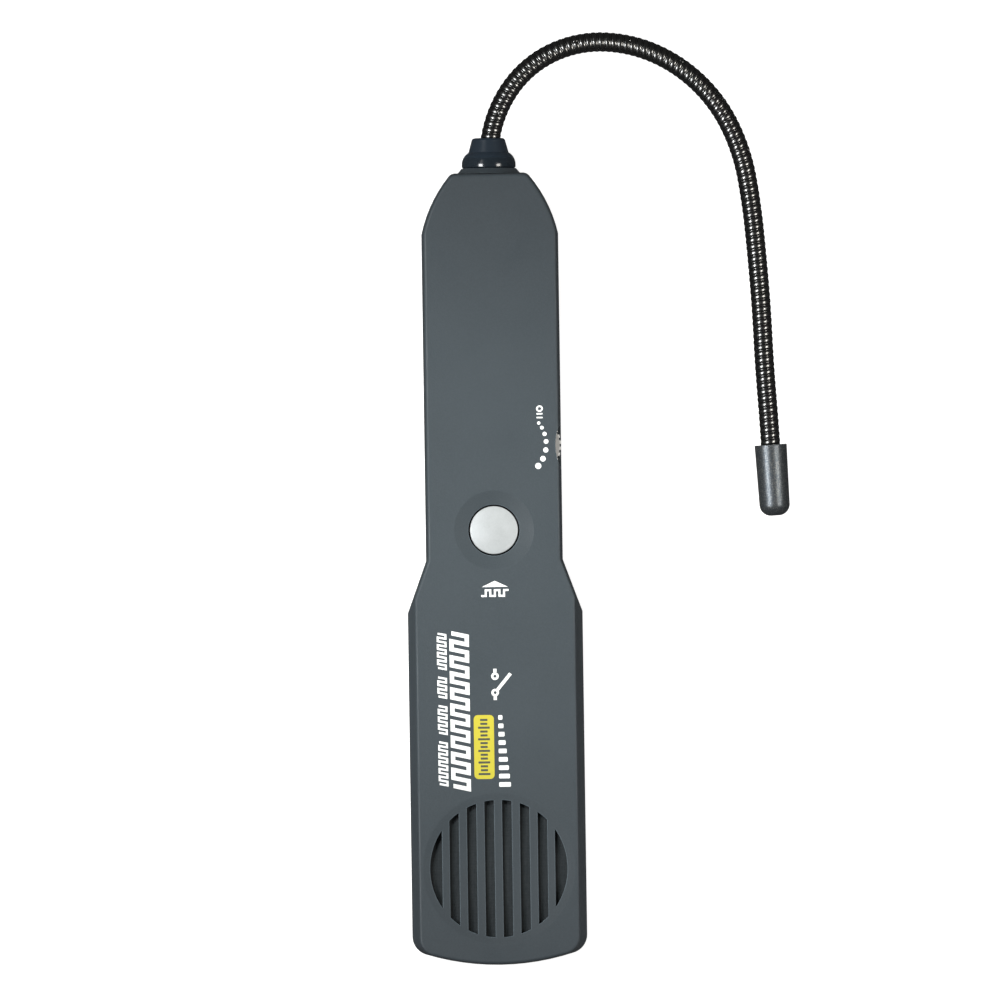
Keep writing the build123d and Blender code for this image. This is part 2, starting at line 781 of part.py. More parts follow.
with BuildPart() as battery_terminals:
    with BuildSketch(battery_end.offset(0.02)):
        with Locations((-terminal_spacing / 2, 0)):
            RegularPolygon(3.6, 6)
        with Locations((terminal_spacing / 2, 0)):
            Circle(2.7)
    extrude(amount=2.0)

save(battery_terminals.part, "battery_terminals")

connector_low_y = battery_high_y + 2.1
connector_high_y = connector_low_y + 2.6

with BuildPart() as snap_connector:
    with BuildSketch(battery_end.offset(2.1)):
        RectangleRounded(25.0, 11.6, 5.0)
    extrude(amount=2.6)
    fillet(edges().group_by(Axis.Y)[-1], 0.8)
    with BuildSketch(battery_end.offset(0.2)):
        with Locations((-terminal_spacing / 2, 0), (terminal_spacing / 2, 0)):
            Circle(4.6)
            Circle(3.75, mode=Mode.SUBTRACT)
    extrude(amount=2.0)

save(snap_connector.part, "snap_connector")

with BuildPart() as foam_pad:
    with BuildSketch(Plane.XY.offset(battery_high_z + 0.05)):
        with Locations((0, -33.5)):
            Rectangle(19, 30)
    extrude(amount=2.3)

save(foam_pad.part, "foam_pad")

# ---------------------------------------------------------------- leads inside the casing

thin_lead_radius = 0.6
sensor_lead_radius = 1.1


def bend_radii(points):
    """Each corner's arc, as large as its two runs allow."""
    radii = []
    for before, corner, after in zip(points, points[1:], points[2:]):
        into = Vector(*corner) - Vector(*before)
        out = Vector(*after) - Vector(*corner)
        half_turn = math.radians(into.get_angle(out) / 2)
        radii.append(0.45 * min(into.length, out.length) / math.tan(half_turn))
    return radii


def make_lead(name, points, radius):
    """A round lead along straight runs and tangent arcs."""
    radii = bend_radii(points)
    with BuildPart() as lead:
        with BuildLine() as route:
            FilletPolyline(*points, radius=radii)
        path = route.wire()
        with BuildSketch(Plane(origin=path @ 0, z_dir=path % 0)):
            Circle(radius)
        sweep(path=path)
    expected = math.pi * radius**2 * path.length
    print(name, "bend radii", [round(r, 1) for r in radii])
    print(name, "volume", round(lead.part.volume, 1), "section times length", round(expected, 1))
    save(lead.part, name)


def battery_lead_route(x):
    """From the snap connector, through the bay's end wall, up to the board's underside."""
    return [
        (x, connector_high_y + 0.05, battery_mid_z),
        (x * 0.97, connector_high_y + 5.5, battery_mid_z + 0.4),
        (x * 0.9, connector_high_y + 10.5, battery_mid_z + 1.6),
        (x * 0.85, connector_high_y + 12.6, board_z - 0.5),
    ]


def speaker_lead_route(x, tag_x):
    """From the speaker's tag, over the battery, down to the board's front side."""
    return [
        (tag_x, speaker_y + 19.4, 25.5),
        (tag_x - 1.0, speaker_y + 23.5, 25.4),
        (x + 1.2, speaker_y + 29.5, 24.9),
        (x, speaker_y + 37.0, 24.5),
        (x + 0.2, speaker_y + 52.0, 24.3),
        (x - 0.1, speaker_y + 66.0, 24.5),
        (x, speaker_y + 75.0, 24.2),
        (x + 0.1, speaker_y + 82.0, 22.6),
        (x + 0.3, speaker_y + 85.3, board_top_z + 0.4),
    ]


make_lead("battery_lead_red", battery_lead_route(3.0), thin_lead_radius)
make_lead("battery_lead_black", battery_lead_route(-3.0), thin_lead_radius)
make_lead("speaker_lead_red", speaker_lead_route(-12.9, -7.4), thin_lead_radius)
make_lead("speaker_lead_black", speaker_lead_route(-11.0, -5.4), thin_lead_radius)

sensor_lead_route = [
    (0, arm_inner_end_y - 0.05, arm_z),
    (0.3, arm_inner_end_y - 7, arm_z - 0.4),
    (1.6, arm_inner_end_y - 14, arm_z - 1.4),
    (2.4, arm_inner_end_y - 20, arm_z - 1.5),
    (2.6, arm_inner_end_y - 23, board_z - 0.85),
]
make_lead("sensor_lead", sensor_lead_route, sensor_lead_radius)

# ---------------------------------------------------------------- gland

collar_top_y = bottom_y + 217.7
collar_base_y = bottom_y + 213.9
collar_top_radius = 4.5
collar_base_radius = 5.3
dome_radius = 7.1
thread_low_y = bottom_y + 202.6
thread_radius = 4.7
arm_bend_start_y = bottom_y + 210.95
arm_bend_radius = 39.5


def heading_vector(degrees):
    """The direction of a clockwise heading counted from +Y, in the arm's plane."""
    turn = math.radians(degrees)
    return Vector(math.sin(turn), math.cos(turn), 0)


def arm_point_after(start, heading, turn, length):
    """Where a stretch of arm of one length and one turn ends."""
    chord = length
    if turn:
        radius = length / math.radians(turn)
        chord = 2 * radius * math.sin(math.radians(turn) / 2)
    return start + heading_vector(heading + turn / 2) * chord


root_bend_length = arm_bend_radius * math.radians(arm_start_heading)
root_bend_start = Vector(0, arm_bend_start_y, arm_z)
arm_points = [arm_point_after(root_bend_start, 0, arm_start_heading, root_bend_length)]
arm_headings = [arm_start_heading]
for turn in arm_turns:
    arm_points.append(arm_point_after(arm_points[-1], arm_headings[-1], turn, arm_step))
    arm_headings.append(arm_headings[-1] + turn)

gland_plane = Plane(origin=(0, 0, arm_z), x_dir=(1, 0, 0), z_dir=(0, 0, 1))

with BuildPart() as gland:
    with BuildSketch(gland_plane):
        with BuildLine():
            Polyline(
                (0, thread_low_y),
                (thread_radius, thread_low_y),
                (thread_radius, lip_top_y + 0.05),
                (dome_radius - 0.3, lip_top_y + 0.05),
                (dome_radius, lip_top_y + 0.4),
                (dome_radius, lip_top_y + 1.0),
            )
            dome = ThreePointArc(
                (dome_radius, lip_top_y + 1.0),
                (dome_radius - 0.5, lip_top_y + 2.9),
                (collar_base_radius, collar_base_y),
            )
            Line(dome @ 1, (collar_top_radius, collar_top_y - 0.9))
            rim = ThreePointArc(
                (collar_top_radius, collar_top_y - 0.9),
                (collar_top_radius - 0.3, collar_top_y - 0.25),
                (collar_top_radius - 0.95, collar_top_y),
            )
            Polyline(rim @ 1, (0, collar_top_y), (0, thread_low_y))
        make_face()
    revolve(axis=Axis((0, 0, arm_z), (0, 1, 0)))
    # The bore follows the arm, which already starts to bend inside the collar.
    with BuildLine() as bore_line:
        straight = Line((0, thread_low_y - 1, arm_z), root_bend_start)
        bend = RadiusArc(root_bend_start, arm_points[0], arm_bend_radius)
        Line(bend @ 1, bend @ 1 + heading_vector(arm_start_heading) * 2)
    bore_path = bore_line.wire()
    with BuildSketch(Plane(origin=bore_path @ 0, z_dir=bore_path % 0)):
        Circle(arm_radius + 0.12)
    sweep(path=bore_path, mode=Mode.SUBTRACT)

save(gland.part, "gland")

nut_plane = Plane(origin=(0, thread_low_y + 0.2, arm_z), x_dir=(1, 0, 0), z_dir=(0, 1, 0))

with BuildPart() as gland_nut:
    with BuildSketch(nut_plane):
        RegularPolygon(6.6, 6)
        Circle(thread_radius + 0.05, mode=Mode.SUBTRACT)
    extrude(amount=3.0)
    chamfer(edges().group_by(Axis.Y)[0].filter_by(GeomType.LINE), 0.3)

save(gland_nut.part, "gland_nut")

ferrule_plane = Plane(origin=(0, arm_inner_end_y + 0.4, arm_z), x_dir=(1, 0, 0), z_dir=(0, 1, 0))

with BuildPart() as arm_ferrule:
    with BuildSketch(ferrule_plane):
        Circle(3.5)
        Circle(arm_radius + 0.05, mode=Mode.SUBTRACT)
    extrude(amount=3.6)
    # Two crimped grooves.
    with BuildSketch(ferrule_plane.offset(1.0)):
        Circle(3.6)
        Circle(3.2, mode=Mode.SUBTRACT)
    extrude(amount=0.5, mode=Mode.SUBTRACT)
    with BuildSketch(ferrule_plane.offset(2.1)):
        Circle(3.6)
        Circle(3.2, mode=Mode.SUBTRACT)
    extrude(amount=0.5, mode=Mode.SUBTRACT)

save(arm_ferrule.part, "arm_ferrule")

# ---------------------------------------------------------------- gooseneck arm

# The arm is cut into stretches that meet in ball joints: each stretch ends in a ball of the
# arm's own radius, and the next begins in a cup a little larger about the same centre.


def arm_line(index):
    """The middle line of one stretch of the arm, with what it has inside the casing or cap."""
    start = arm_points[index]
    end = arm_points[index + 1]
    with BuildLine() as line:
        if index == 0:
            Line((0, arm_inner_end_y, arm_z), root_bend_start)
            RadiusArc(root_bend_start, start, arm_bend_radius)
        if arm_turns[index]:
            RadiusArc(start, end, arm_step / math.radians(arm_turns[index]))
        else:
            Line(start, end)
        if index == len(arm_turns) - 1:
            Line(end, end + heading_vector(arm_headings[-1]) * probe_socket_depth)
    return line.wire()


ball_height = math.sqrt(arm_radius**2 - arm_bore**2)

for index in range(len(arm_turns)):
    path = arm_line(index)
    with BuildPart() as arm_stretch:
        with BuildSketch(Plane(origin=path @ 0, z_dir=path % 0)):
            Circle(arm_radius)
            Circle(arm_bore, mode=Mode.SUBTRACT)
        sweep(path=path)
        if index < len(arm_turns) - 1:
            # Half a ball on the far end, with the bore through it.
            joint = arm_points[index + 1]
            along = heading_vector(arm_headings[index + 1])
            upright = Vector(0, 0, 1)
            with BuildSketch(Plane(origin=joint, x_dir=upright, z_dir=upright.cross(along))):
                with BuildLine():
                    Line((arm_bore, 0), (arm_radius, 0))
                    middle = arm_radius * math.sqrt(0.5)
                    ThreePointArc((arm_radius, 0), (middle, middle), (arm_bore, ball_height))
                    Line((arm_bore, ball_height), (arm_bore, 0))
                make_face()
            revolve(axis=Axis(joint, along))
        if index > 0:
            with Locations(arm_points[index]):
                Sphere(arm_cup_radius, mode=Mode.SUBTRACT)
    save(arm_stretch.part, "arm_stretch_" + str(index + 1).zfill(2))

# ---------------------------------------------------------------- probe cap and sensor

probe_direction = heading_vector(arm_headings[-1])
probe_plane = Plane(origin=arm_points[-1], x_dir=(0, 0, 1), z_dir=probe_direction)
coil_depth = 7.6
coil_length = 7.4
coil_outer_radius = 2.55
core_radius = 1.25
cap_bore_radius = 2.7
cap_straight_end = 0.2

with BuildPart() as probe_cap:
    with BuildSketch(probe_plane):
        Circle(probe_top_radius)
    with BuildSketch(probe_plane.offset(probe_length - cap_straight_end)):
        Circle(probe_end_radius)
    loft()
    with BuildSketch(probe_plane.offset(probe_length - cap_straight_end)):
        Circle(probe_end_radius)
    extrude(amount=cap_straight_end)
    cap_ends = edges().filter_by(GeomType.CIRCLE).sort_by(Axis(arm_points[-1], probe_direction))
    fillet(cap_ends[-1], probe_nose_round)
    cap_ends = edges().filter_by(GeomType.CIRCLE).sort_by(Axis(arm_points[-1], probe_direction))
    fillet(cap_ends[0], probe_rim_round)
    # One bore takes the arm's end and the coil beyond it.
    with BuildSketch(probe_plane.offset(-1)):
        Circle(cap_bore_radius)
    extrude(amount=1 + coil_depth + coil_length + 0.4, mode=Mode.SUBTRACT)

save(probe_cap.part, "probe_cap")

with BuildPart() as sensor_coil:
    with BuildSketch(probe_plane.offset(coil_depth)):
        Circle(coil_outer_radius)
        Circle(core_radius + 0.05, mode=Mode.SUBTRACT)
    extrude(amount=coil_length)

save(sensor_coil.part, "sensor_coil")

with BuildPart() as sensor_core:
    with BuildSketch(probe_plane.offset(coil_depth - 0.8)):
        Circle(core_radius)
    extrude(amount=coil_length + 0.9)

save(sensor_core.part, "sensor_core")

# ---------------------------------------------------------------- screws

head_low_z = 1.4
head_high_z = screw_recess_depth - 0.02
case_shank_top_z = 23.0
case_shank_radius = 1.1
board_head_radius = 1.9
board_head_low_z = board_z - 1.25
board_shank_radius = 0.9
cross_length = 2.4
cross_width = 0.55

with BuildPart() as case_screws:
    with BuildSketch(Plane.XY.offset(head_low_z)):
        with Locations(*both_sides(case_screws_at)):
            Circle(screw_head_radius)
    extrude(amount=head_high_z - head_low_z)
    fillet(edges().filter_by(GeomType.CIRCLE).group_by(Axis.Z)[0], 0.5)
    with BuildSketch(Plane.XY.offset(head_high_z)):
        with Locations(*both_sides(case_screws_at)):
            Circle(case_shank_radius)
    extrude(amount=case_shank_top_z - head_high_z)
    with BuildSketch(Plane.XY.offset(head_low_z)):
        with Locations(*both_sides(case_screws_at)):
            Rectangle(cross_length, cross_width)
            Rectangle(cross_width, cross_length)
    extrude(amount=0.9, mode=Mode.SUBTRACT)

save(case_screws.part, "case_screws")

with BuildPart() as board_screws:
    with BuildSketch(Plane.XY.offset(board_head_low_z)):
        with Locations(*board_screws_at):
            Circle(board_head_radius)
    extrude(amount=1.2)
    fillet(edges().filter_by(GeomType.CIRCLE).group_by(Axis.Z)[0], 0.4)
    with BuildSketch(Plane.XY.offset(board_z - 0.1)):
        with Locations(*board_screws_at):
            Circle(board_shank_radius)
    extrude(amount=6.2)
    with BuildSketch(Plane.XY.offset(board_head_low_z)):
        with Locations(*board_screws_at):
            Rectangle(cross_length, cross_width)
            Rectangle(cross_width, cross_length)
    extrude(amount=0.7, mode=Mode.SUBTRACT)

save(board_screws.part, "board_screws")
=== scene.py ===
import json
import math

import bmesh
import bpy
from mathutils import Matrix, Vector


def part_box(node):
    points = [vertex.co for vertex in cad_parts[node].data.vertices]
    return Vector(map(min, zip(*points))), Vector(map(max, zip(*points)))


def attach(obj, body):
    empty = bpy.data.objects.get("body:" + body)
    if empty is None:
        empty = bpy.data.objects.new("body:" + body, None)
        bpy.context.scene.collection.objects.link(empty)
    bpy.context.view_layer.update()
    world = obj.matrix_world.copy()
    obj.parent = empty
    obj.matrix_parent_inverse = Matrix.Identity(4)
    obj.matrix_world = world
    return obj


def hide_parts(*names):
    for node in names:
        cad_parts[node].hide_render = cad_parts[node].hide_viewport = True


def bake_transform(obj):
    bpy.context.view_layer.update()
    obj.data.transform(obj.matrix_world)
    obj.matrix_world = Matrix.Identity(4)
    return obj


# The looks of a handheld circuit breaker finder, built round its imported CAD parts. Metres, in the
# same frame: the casing lies on its back, +Z is its front and +Y runs towards the gooseneck.

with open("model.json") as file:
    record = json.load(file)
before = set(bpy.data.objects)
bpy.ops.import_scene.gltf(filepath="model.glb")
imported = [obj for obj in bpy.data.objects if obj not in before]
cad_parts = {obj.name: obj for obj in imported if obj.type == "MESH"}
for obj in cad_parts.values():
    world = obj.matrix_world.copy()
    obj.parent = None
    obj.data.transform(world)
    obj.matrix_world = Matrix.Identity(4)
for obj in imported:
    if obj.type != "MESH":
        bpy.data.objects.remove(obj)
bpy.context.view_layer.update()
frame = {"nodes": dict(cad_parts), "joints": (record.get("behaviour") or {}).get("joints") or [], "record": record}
nodes = frame["nodes"]
joints = {joint["name"]: joint for joint in frame["joints"]}
scene = bpy.context.scene

MM = 0.001

# ---------------------------------------------------------------- places, worked out from the frame

front_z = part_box("front_shell")[1].z
button_low, button_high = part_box("test_button")
button_y = (button_low.y + button_high.y) / 2
cloth_low, cloth_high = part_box("speaker_cloth")
grille_y = (cloth_low.y + cloth_high.y) / 2
wheel_low, wheel_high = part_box("volume_wheel")
wheel_y = (wheel_low.y + wheel_high.y) / 2
gland_low, gland_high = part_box("gland")
arm_z = (gland_low.z + gland_high.z) / 2
collar_length = 5.3 * MM
collar_y = gland_high.y - collar_length


# ---------------------------------------------------------------- material helpers

# Noise seldom leaves this middle part of its range.
noise_low, noise_high = 0.3, 0.7


class Paint:
    """One Principled material and short ways to add nodes to it."""

    def __init__(self, name):
        self.material = bpy.data.materials.new(name)
        self.material.use_nodes = True
        self.tree = self.material.node_tree
        self.tree.nodes.clear()
        self.out = self.add("ShaderNodeOutputMaterial")
        self.shader = self.add("ShaderNodeBsdfPrincipled")
        self.link(self.shader.outputs[0], self.out.inputs["Surface"])
        self.place = self.add("ShaderNodeTexCoord").outputs["Object"]

    def add(self, kind):
        return self.tree.nodes.new(kind)

    def link(self, source, target):
        self.tree.links.new(source, target)

    def set(self, **values):
        """Sets plain numbers and colours on the shader's own sockets."""
        for name, value in values.items():
            self.shader.inputs[name.replace("_", " ").title().replace("Ior", "IOR")].default_value = value

    def drive(self, socket, source):
        self.link(source, self.shader.inputs[socket])

    def stretched(self, scale):
        """Object coordinates stretched by a different amount along each axis."""
        mapping = self.add("ShaderNodeMapping")
        self.link(self.place, mapping.inputs["Vector"])
        mapping.inputs["Scale"].default_value = scale
        return mapping.outputs["Vector"]

    def noise(self, size, detail=3.0, roughness=0.55, where=None):
        """Cloudy noise whose features are about one size, in metres."""
        node = self.add("ShaderNodeTexNoise")
        self.link(where or self.place, node.inputs["Vector"])
        node.inputs["Scale"].default_value = 1 / size
        node.inputs["Detail"].default_value = detail
        node.inputs["Roughness"].default_value = roughness
        return node.outputs["Fac"]

    def patchy(self, size, low, high, detail=3.0):
        """A number that wanders between two values, in patches of about one size."""
        return self.span(self.noise(size, detail), low, high, noise_low, noise_high)

    def cells(self, size, feature="F1", output="Distance", where=None):
        """Voronoi cells of about one size, in metres."""
        node = self.add("ShaderNodeTexVoronoi")
        node.feature = feature
        self.link(where or self.place, node.inputs["Vector"])
        node.inputs["Scale"].default_value = 1 / size
        return node.outputs[output]

    def waves(self, size, direction="X", where=None):
        """Straight bands across one axis, one size apart, in metres."""
        node = self.add("ShaderNodeTexWave")
        node.bands_direction = direction
        self.link(where or self.place, node.inputs["Vector"])
        node.inputs["Scale"].default_value = math.pi / 10 / size
        return node.outputs["Fac"]

    def span(self, source, low, high, from_low=0.0, from_high=1.0):
        """Maps one range of a number to another."""
        node = self.add("ShaderNodeMapRange")
        self.link(source, node.inputs["Value"])
        node.inputs["From Min"].default_value = from_low
        node.inputs["From Max"].default_value = from_high
        node.inputs["To Min"].default_value = low
        node.inputs["To Max"].default_value = high
        return node.outputs["Result"]

    def math(self, kind, first, second):
        node = self.add("ShaderNodeMath")
        node.operation = kind
        for socket, value in zip(node.inputs, (first, second)):
            if isinstance(value, (int, float)):
                socket.default_value = value
            else:
                self.link(value, socket)
        return node.outputs[0]

    def mix(self, share, first, second):
        """Mixes two colours, each a tuple or another node's output."""
        node = self.add("ShaderNodeMix")
        node.data_type = "RGBA"
        self.link(share, node.inputs["Factor"])
        for socket, value in ((node.inputs[6], first), (node.inputs[7], second)):
            if isinstance(value, tuple):
                socket.default_value = (*value, 1)
            else:
                self.link(value, socket)
        return node.outputs[2]

    def edge(self, radius):
        """The surface's normal with its sharp edges rounded to a radius."""
        node = self.add("ShaderNodeBevel")
        node.samples = 6
        node.inputs["Radius"].default_value = radius
        return node.outputs["Normal"]

    def edge_mask(self, radius, low=0.02, high=0.25):
        """From 0 on a face to 1 at a sharp edge."""
        bend = self.add("ShaderNodeVectorMath")
        bend.operation = "DOT_PRODUCT"
        flat = self.add("ShaderNodeNewGeometry").outputs["Normal"]
        self.link(self.edge(radius), bend.inputs[0])
        self.link(flat, bend.inputs[1])
        return self.span(bend.outputs["Value"], 0, 1, 1 - low, 1 - high)

    def height(self):
        """How far a point lies above the back, in metres."""
        node = self.add("ShaderNodeSeparateXYZ")
        self.link(self.place, node.inputs[0])
        return node.outputs["Z"]

    def along_y(self):
        """Place along the casing, in metres."""
        node = self.add("ShaderNodeSeparateXYZ")
        self.link(self.place, node.inputs[0])
        return node.outputs["Y"]

    def far_from(self, x, y):
        """How far a point lies from an upright axis, in metres."""
        flat = self.add("ShaderNodeVectorMath")
        flat.operation = "MULTIPLY"
        self.link(self.place, flat.inputs[0])
        flat.inputs[1].default_value = (1, 1, 0)
        gap = self.add("ShaderNodeVectorMath")
        gap.operation = "DISTANCE"
        self.link(flat.outputs["Vector"], gap.inputs[0])
        gap.inputs[1].default_value = (x, y, 0)
        return gap.outputs["Value"]

    def bump(self, height, strength, depth, base=None):
        node = self.add("ShaderNodeBump")
        self.link(height, node.inputs["Height"])
        node.inputs["Strength"].default_value = strength
        node.inputs["Distance"].default_value = depth
        if base is not None:
            self.link(base, node.inputs["Normal"])
        return node.outputs["Normal"]

    def finish(self, normal):
        self.drive("Normal", normal)
        return self.material


def shade(color, factor):
    return tuple(min(1.0, part * factor) for part in color)


# ---------------------------------------------------------------- materials of the casing


def shell_plastic():
    """Slate grey moulded plastic: spark-eroded grain, edges lightened as wear and as a painted highlight, and
    painted shade in two dishes.
    """
    paint = Paint("shell_plastic")
    slate = (0.0333, 0.0428, 0.0508)
    clouds = paint.noise(35 * MM, detail=2)
    specks = paint.noise(0.45 * MM, detail=2)
    base = paint.mix(paint.span(clouds, 0, 1, 0.3, 0.7), shade(slate, 0.94), shade(slate, 1.05))
    base = paint.mix(paint.span(specks, 0, 0.5, 0.35, 0.75), base, shade(slate, 1.22))
    # Edges lightened: partly edge wear, partly a painted highlight where light catches the chamfers.
    rubbed_and_highlit = paint.math("MULTIPLY", paint.edge_mask(0.5 * MM), paint.span(paint.noise(4 * MM), 0.6, 1.0))
    base = paint.mix(rubbed_and_highlit, base, shade(slate, 3.6))
    front_skin = 2.5 * MM
    soft_edge = 0.2 * MM
    on_front = paint.span(paint.height(), 0, 1, front_z - front_skin, front_z - front_skin + soft_edge / 2)
    # Painted shade: the front is darkened inside the dishes round the button and the grille.
    button_dish_radius = 10.4 * MM
    grille_dish_radius = 19.9 * MM
    for y, radius, darker in ((button_y, button_dish_radius, 0.06), (grille_y, grille_dish_radius, 0.05)):
        inside = paint.span(paint.far_from(0, y), darker, 0, radius - soft_edge, radius)
        base = paint.mix(paint.math("MULTIPLY", inside, on_front), base, (0, 0, 0))
    paint.drive("Base Color", base)
    grain_size = paint.noise(12 * MM, detail=2)
    paint.drive("Roughness", paint.span(grain_size, 0.46, 0.6, 0.3, 0.7))
    paint.set(specular_ior_level=0.45)
    grain = paint.math("ADD", paint.noise(0.32 * MM, detail=3), paint.cells(0.5 * MM))
    return paint.finish(paint.bump(grain, 0.35, 0.04 * MM, paint.edge(0.25 * MM)))


def silver_plastic():
    """Satin silver lacquer with a fine metal flake; its side below the casing's face is painted black as shade in
    the gap.
    """
    paint = Paint("silver_plastic")
    silver = (0.368, 0.390, 0.408)
    flakes = paint.cells(0.22 * MM, output="Color")
    patches = paint.noise(4 * MM, detail=2)
    base = paint.mix(paint.span(patches, 0, 1, 0.35, 0.65), shade(silver, 0.93), shade(silver, 1.04))
    base = paint.mix(paint.span(flakes, 0, 0.35), base, shade(silver, 1.2))
    # Painted shade: the button's side below the casing's face is made black, for the dark gap round it.
    gap_shade_black = (0.012, 0.013, 0.014)
    gap_shade = paint.span(paint.height(), 1, 0, front_z - 0.5 * MM, front_z - 0.2 * MM)
    paint.drive("Base Color", paint.mix(gap_shade, base, gap_shade_black))
    paint.set(metallic=0.25)
    paint.drive("Roughness", paint.patchy(0.6 * MM, 0.34, 0.46))
    grain = paint.math("ADD", paint.noise(0.18 * MM, detail=2), paint.cells(0.22 * MM))
    return paint.finish(paint.bump(grain, 0.2, 0.02 * MM, paint.edge(0.2 * MM)))


def wheel_plastic():
    """Pale grey hard plastic, a little grubby in patches."""
    paint = Paint("wheel_plastic")
    pale = (0.90, 0.90, 0.87)
    grime = paint.span(paint.noise(1.2 * MM, detail=4), 0, 0.4, 0.45, 0.8)
    paint.drive("Base Color", paint.mix(grime, pale, shade(pale, 0.55)))
    paint.drive("Roughness", paint.patchy(0.7 * MM, 0.38, 0.55))
    return paint.finish(paint.bump(paint.noise(0.2 * MM), 0.2, 0.03 * MM, paint.edge(0.15 * MM)))


def gland_plastic():
    """Dark navy moulded plastic: a glossy dome with a soft orange-peel surface, and a satin collar lightened by a
    painted reflection.
    """
    paint = Paint("gland_plastic")
    navy = (0.010, 0.0145, 0.0195)
    base = paint.mix(paint.span(paint.noise(6 * MM), 0, 1, 0.35, 0.65), navy, shade(navy, 1.35))
    dust = paint.span(paint.noise(0.25 * MM, detail=2), 0, 0.25, 0.62, 0.8)
    base = paint.mix(dust, base, shade(navy, 3.0))
    # Painted reflection: the collar's colour is a lighter blue in place of the sheen it would reflect.
    collar_painted_sheen = (0.014, 0.0225, 0.0335)
    collar_fade = 0.4 * MM
    collar_rougher = 0.18
    collar = paint.span(paint.along_y(), 0, 1, collar_y - collar_fade, collar_y + collar_fade)
    paint.drive("Base Color", paint.mix(collar, base, collar_painted_sheen))
    gloss = paint.patchy(3 * MM, 0.12, 0.18, detail=3)
    paint.drive("Roughness", paint.math("ADD", gloss, paint.math("MULTIPLY", collar, collar_rougher)))
    paint.set(specular_ior_level=0.8)
    return paint.finish(paint.bump(paint.noise(1.6 * MM, detail=1), 0.08, 0.05 * MM, paint.edge(0.2 * MM)))


def probe_plastic():
    """Grey-blue satin plastic full of fine metallic flake."""
    paint = Paint("probe_plastic")
    blue = (0.088, 0.102, 0.115)
    flake = (0.290, 0.290, 0.285)
    flakes = paint.cells(0.21 * MM, output="Color")
    base = paint.mix(paint.span(flakes, 0, 0.75, 0.45, 1.0), blue, flake)
    paint.drive("Base Color", base)
    paint.set(metallic=0.8)
    paint.drive("Roughness", paint.patchy(0.4 * MM, 0.30, 0.42))
    grain = paint.math("ADD", paint.noise(0.25 * MM, detail=2), paint.cells(0.24 * MM))
    return paint.finish(paint.bump(grain, 0.5, 0.04 * MM, paint.edge(0.1 * MM)))


def arm_steel():
    """Glossy black-plated steel wire with faint drawing marks."""
    paint = Paint("arm_steel")
    black = (0.208, 0.208, 0.203)
    worn = paint.span(paint.noise(4 * MM, detail=3), 0, 0.6, 0.5, 0.85)
    paint.drive("Base Color", paint.mix(worn, black, shade(black, 1.25)))
    paint.set(metallic=1.0)
    paint.drive("Roughness", paint.patchy(0.5 * MM, 0.22, 0.28, detail=2))
    return paint.finish(paint.bump(paint.noise(0.15 * MM, detail=2), 0.05, 0.01 * MM))


# ---------------------------------------------------------------- materials of the inner parts


def weave(name, thread, size, color, lift):
    """Cloth of crossing threads, with painted shade between them and painted light on their tops."""
    paint = Paint(name)
    across = paint.waves(size, "X")
    along = paint.waves(size, "Y")
    threads = paint.math("MAXIMUM", across, along)
    # Painted shade and light: darker in the gaps between threads, lighter on the raised threads.
    paint.drive("Base Color", paint.mix(threads, shade(color, 0.55), shade(color, lift)))
    paint.drive("Roughness", paint.patchy(size * 3, 0.75, 0.92))
    paint.set(sheen_weight=0.15)
    return paint.finish(paint.bump(threads, thread, size / 5))


def cloth_black():
    return weave("cloth_black", 0.5, 0.4 * MM, (0.0155, 0.0195, 0.0225), 1.3)


def speckled(name, color, size, contrast, rough, metallic=0.0, depth=0.03 * MM, strength=0.2):
    """A plain material with its own small variation of colour, gloss and height."""
    paint = Paint(name)
    tone = paint.patchy(size, 0, 1, detail=4)
    paint.drive("Base Color", paint.mix(tone, shade(color, 1 - contrast), shade(color, 1 + contrast)))
    paint.drive("Roughness", paint.patchy(size * 2, rough - 0.06, rough + 0.08))
    paint.set(metallic=metallic)
    return paint.finish(paint.bump(paint.noise(size / 3), strength, depth, paint.edge(0.15 * MM)))


def board_laminate():
    """Green solder resist over a grid of copper tracks."""
    paint = Paint("board_laminate")
    green = (0.012, 0.085, 0.035)
    tracks = paint.cells(4.2 * MM, feature="DISTANCE_TO_EDGE")
    on_track = paint.span(tracks, 1, 0, 0.1, 0.16)
    paint.drive("Base Color", paint.mix(on_track, green, shade(green, 2.4)))
    paint.drive("Roughness", paint.patchy(2 * MM, 0.25, 0.4))
    paint.set(coat_weight=0.4)
    return paint.finish(paint.bump(on_track, 0.5, 0.06 * MM))


def brushed(name, color, rough):
    """Metal with fine marks along X."""
    paint = Paint(name)
    marks = paint.noise(0.2 * MM, detail=3, where=paint.stretched((0.08, 1, 1)))
    paint.drive("Base Color", paint.mix(marks, shade(color, 0.85), shade(color, 1.12)))
    paint.drive("Roughness", paint.span(marks, rough - 0.08, rough + 0.12, 0.3, 0.7))
    paint.set(metallic=1.0)
    return paint.finish(paint.bump(marks, 0.15, 0.02 * MM, paint.edge(0.1 * MM)))


def wound(name, color, pitch):
    """Fine wire wound round the probe's length, with painted shade in the grooves between turns."""
    paint = Paint(name)
    turns = paint.waves(pitch, "Y")
    # Painted shade: the colour darkens in the grooves between turns.
    paint.drive("Base Color", paint.mix(turns, shade(color, 0.4), color))
    paint.drive("Roughness", paint.span(turns, 0.45, 0.25))
    paint.set(metallic=0.9)
    return paint.finish(paint.bump(turns, 0.7, pitch / 3))


